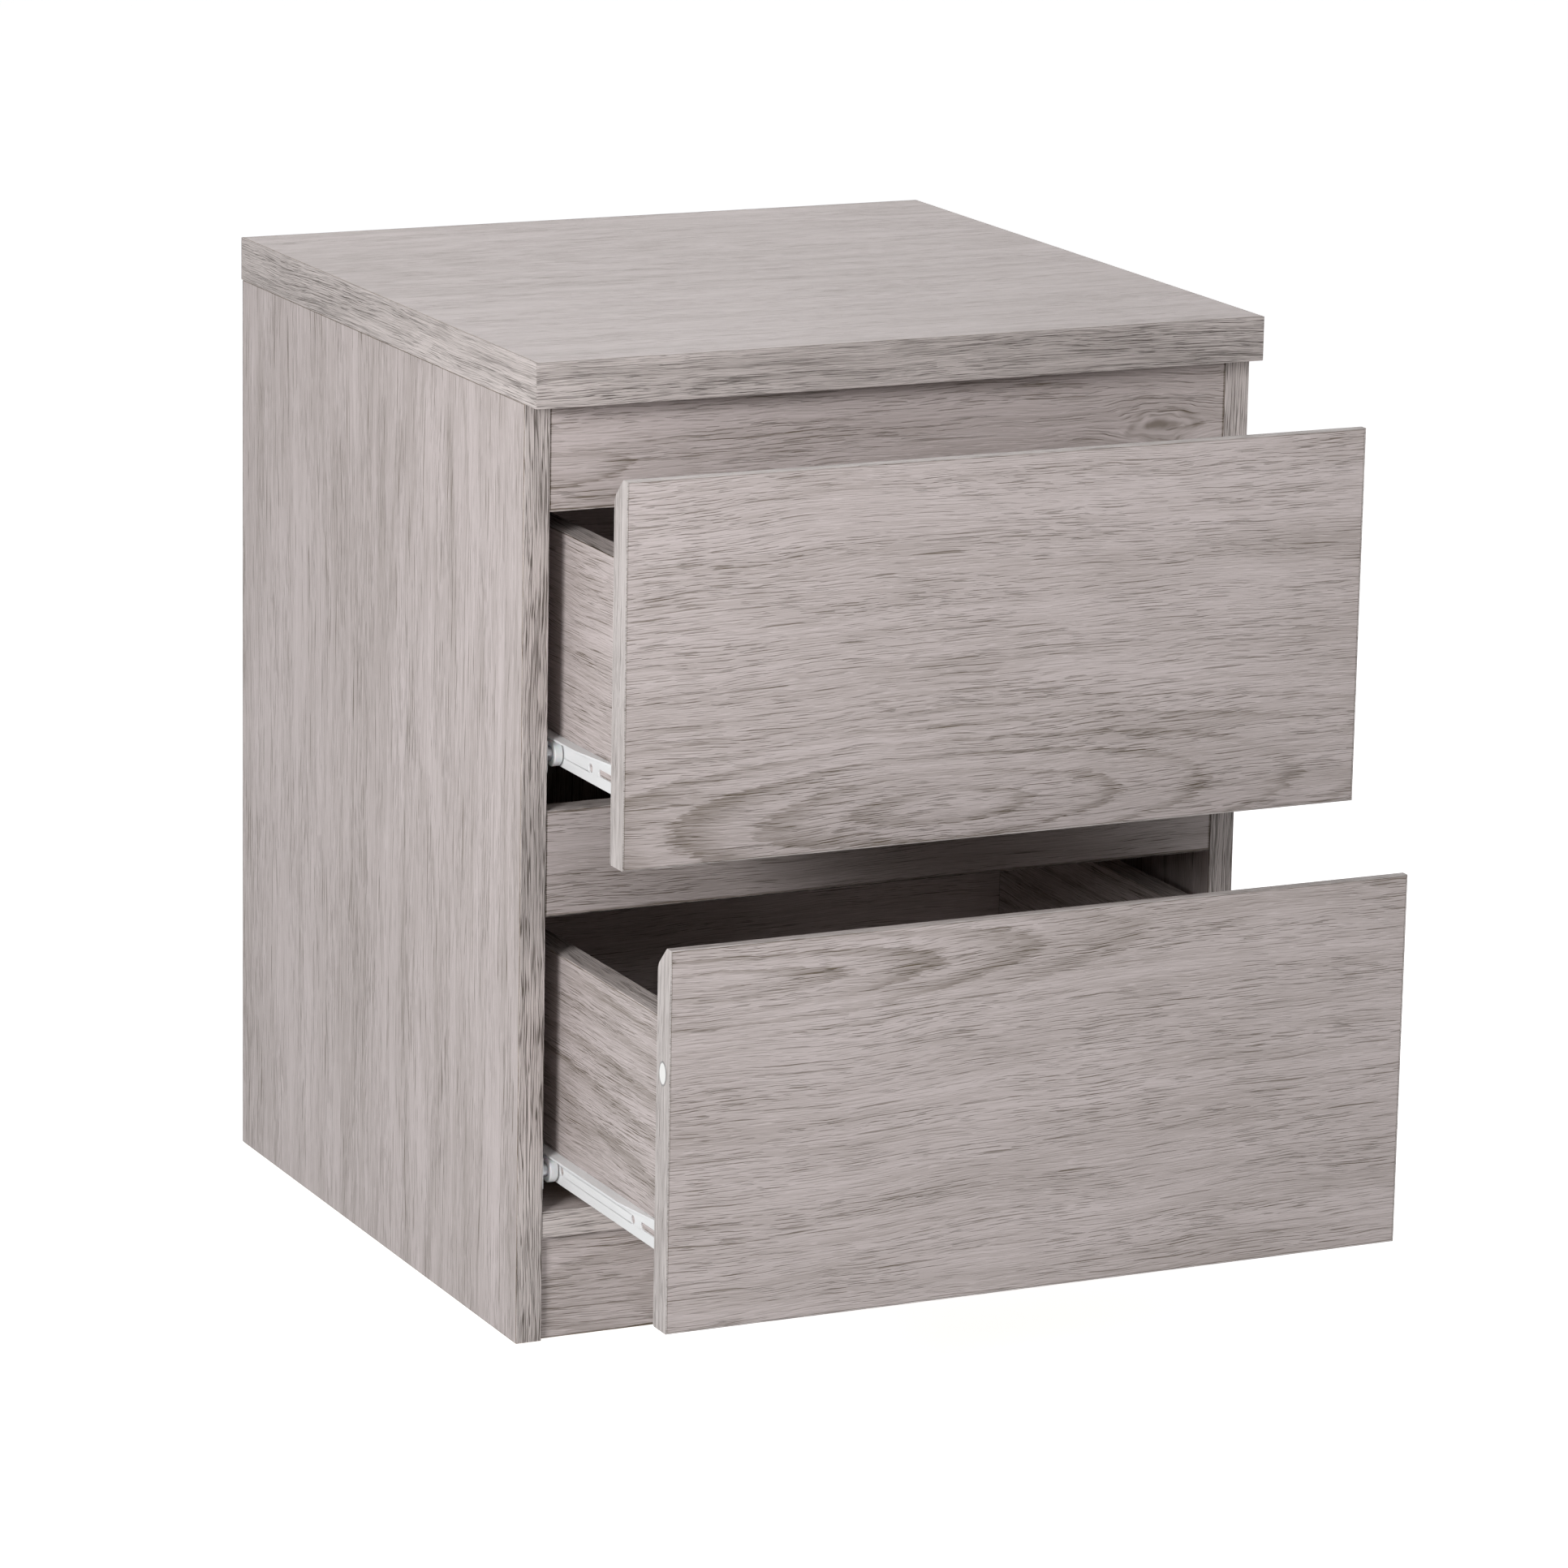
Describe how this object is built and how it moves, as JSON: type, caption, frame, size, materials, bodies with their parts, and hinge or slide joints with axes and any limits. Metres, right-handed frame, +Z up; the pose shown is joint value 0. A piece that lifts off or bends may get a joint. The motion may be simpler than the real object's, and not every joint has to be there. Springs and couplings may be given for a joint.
{
  "type": "nightstand",
  "caption": "Grey oak laminate nightstand with overlay drawers on roller slides, handle-less fronts with a finger bevel, and a thick overhanging top.",
  "frame": {"origin": "on the floor, at the middle of the footprint with the drawers as drawn", "axes": "+X to the right seen from the front, -Y is the front that the drawers open towards, +Z up"},
  "size_m": [0.44, 0.6184, 0.55],
  "materials": {
    "oak_laminate": "matt melamine laminate printed with grey oak grain",
    "edge_band": "matt edge band with coarse oak grain",
    "front_edge_band": "matt pale edge band with fine streaks",
    "hardboard": "smooth lacquered hardboard",
    "white_steel": "white powder coat on sheet steel",
    "nylon": "moulded white nylon",
    "zinc": "bright zinc plating",
    "beech": "plain turned beech",
    "sticker": "matt white paper label, blank"
  },
  "bodies": {
    "cabinet": {"top_panel": "oak_laminate", "top_edge_bands": "edge_band", "left_side_panel": "oak_laminate", "right_side_panel": "oak_laminate", "side_edge_bands": "edge_band", "upper_rail": "oak_laminate", "middle_rail": "oak_laminate", "rail_edge_bands": "edge_band", "bottom_panel": "oak_laminate", "bottom_edge_band": "edge_band", "plinth": "oak_laminate", "back_panel": "hardboard", "back_panel_nails": "zinc", "cabinet_cam_bolts": "zinc", "cabinet_cam_discs": "zinc", "cabinet_dowels": "beech", "upper_left_channel": "white_steel", "upper_right_channel": "white_steel", "lower_left_channel": "white_steel", "lower_right_channel": "white_steel", "channel_screws": "zinc", "channel_axles": "zinc"},
    "upper_drawer": {"upper_drawer_front": "oak_laminate", "upper_front_edge_bands": "front_edge_band", "upper_drawer_left_side": "oak_laminate", "upper_drawer_right_side": "oak_laminate", "upper_drawer_back": "oak_laminate", "upper_drawer_bottom": "hardboard", "upper_box_edge_bands": "edge_band", "upper_left_runner": "white_steel", "upper_right_runner": "white_steel", "upper_runner_screws": "zinc", "upper_runner_axles": "zinc", "upper_drawer_cam_bolts": "zinc", "upper_drawer_cam_discs": "zinc", "upper_drawer_back_screws": "zinc"},
    "lower_drawer": {"lower_drawer_front": "oak_laminate", "lower_front_edge_bands": "front_edge_band", "lower_drawer_left_side": "oak_laminate", "lower_drawer_right_side": "oak_laminate", "lower_drawer_back": "oak_laminate", "lower_drawer_bottom": "hardboard", "lower_box_edge_bands": "edge_band", "lower_left_runner": "white_steel", "lower_right_runner": "white_steel", "lower_runner_screws": "zinc", "lower_runner_axles": "zinc", "lower_drawer_cam_bolts": "zinc", "lower_drawer_cam_discs": "zinc", "lower_drawer_back_screws": "zinc", "front_sticker": "sticker"},
    "upper_left_roller": {"upper_left_roller": "nylon"},
    "upper_left_rear_roller": {"upper_left_rear_roller": "nylon"},
    "upper_right_roller": {"upper_right_roller": "nylon"},
    "upper_right_rear_roller": {"upper_right_rear_roller": "nylon"},
    "lower_left_roller": {"lower_left_roller": "nylon"},
    "lower_left_rear_roller": {"lower_left_rear_roller": "nylon"},
    "lower_right_roller": {"lower_right_roller": "nylon"},
    "lower_right_rear_roller": {"lower_right_rear_roller": "nylon"}
  },
  "joints": [
    {"name": "upper_drawer_slide", "type": "slide", "parent": "cabinet", "child": "upper_drawer", "axis": [0, -1, 0], "range_m": [-0.1162, 0.1838]},
    {"name": "lower_drawer_slide", "type": "slide", "parent": "cabinet", "child": "lower_drawer", "axis": [0, -1, 0], "range_m": [-0.1792, 0.1208]},
    {"name": "upper_left_roller_spin", "type": "hinge", "parent": "cabinet", "child": "upper_left_roller", "pos_m": [-0.1969, -0.10365, 0.3305], "axis": [1, 0, 0], "continuous": true},
    {"name": "upper_left_rear_roller_spin", "type": "hinge", "parent": "upper_drawer", "child": "upper_left_rear_roller", "pos_m": [-0.19775, 0.15975, 0.3305], "axis": [1, 0, 0], "continuous": true},
    {"name": "upper_right_roller_spin", "type": "hinge", "parent": "cabinet", "child": "upper_right_roller", "pos_m": [0.1969, -0.10365, 0.3305], "axis": [1, 0, 0], "continuous": true},
    {"name": "upper_right_rear_roller_spin", "type": "hinge", "parent": "upper_drawer", "child": "upper_right_rear_roller", "pos_m": [0.19775, 0.15975, 0.3305], "axis": [1, 0, 0], "continuous": true},
    {"name": "lower_left_roller_spin", "type": "hinge", "parent": "cabinet", "child": "lower_left_roller", "pos_m": [-0.1969, -0.10365, 0.0955], "axis": [1, 0, 0], "continuous": true},
    {"name": "lower_left_rear_roller_spin", "type": "hinge", "parent": "lower_drawer", "child": "lower_left_rear_roller", "pos_m": [-0.19775, 0.09675, 0.0955], "axis": [1, 0, 0], "continuous": true},
    {"name": "lower_right_roller_spin", "type": "hinge", "parent": "cabinet", "child": "lower_right_roller", "pos_m": [0.1969, -0.10365, 0.0955], "axis": [1, 0, 0], "continuous": true},
    {"name": "lower_right_rear_roller_spin", "type": "hinge", "parent": "lower_drawer", "child": "lower_right_rear_roller", "pos_m": [0.19775, 0.09675, 0.0955], "axis": [1, 0, 0], "continuous": true}
  ],
  "couplings": [
    {"joint": "upper_left_roller_spin", "follows": "upper_drawer_slide", "rad_per_m": 136.99},
    {"joint": "upper_left_rear_roller_spin", "follows": "upper_drawer_slide", "rad_per_m": 136.99},
    {"joint": "upper_right_roller_spin", "follows": "upper_drawer_slide", "rad_per_m": 136.99},
    {"joint": "upper_right_rear_roller_spin", "follows": "upper_drawer_slide", "rad_per_m": 136.99},
    {"joint": "lower_left_roller_spin", "follows": "lower_drawer_slide", "rad_per_m": 136.99},
    {"joint": "lower_left_rear_roller_spin", "follows": "lower_drawer_slide", "rad_per_m": 136.99},
    {"joint": "lower_right_roller_spin", "follows": "lower_drawer_slide", "rad_per_m": 136.99},
    {"joint": "lower_right_rear_roller_spin", "follows": "lower_drawer_slide", "rad_per_m": 136.99}
  ]
}
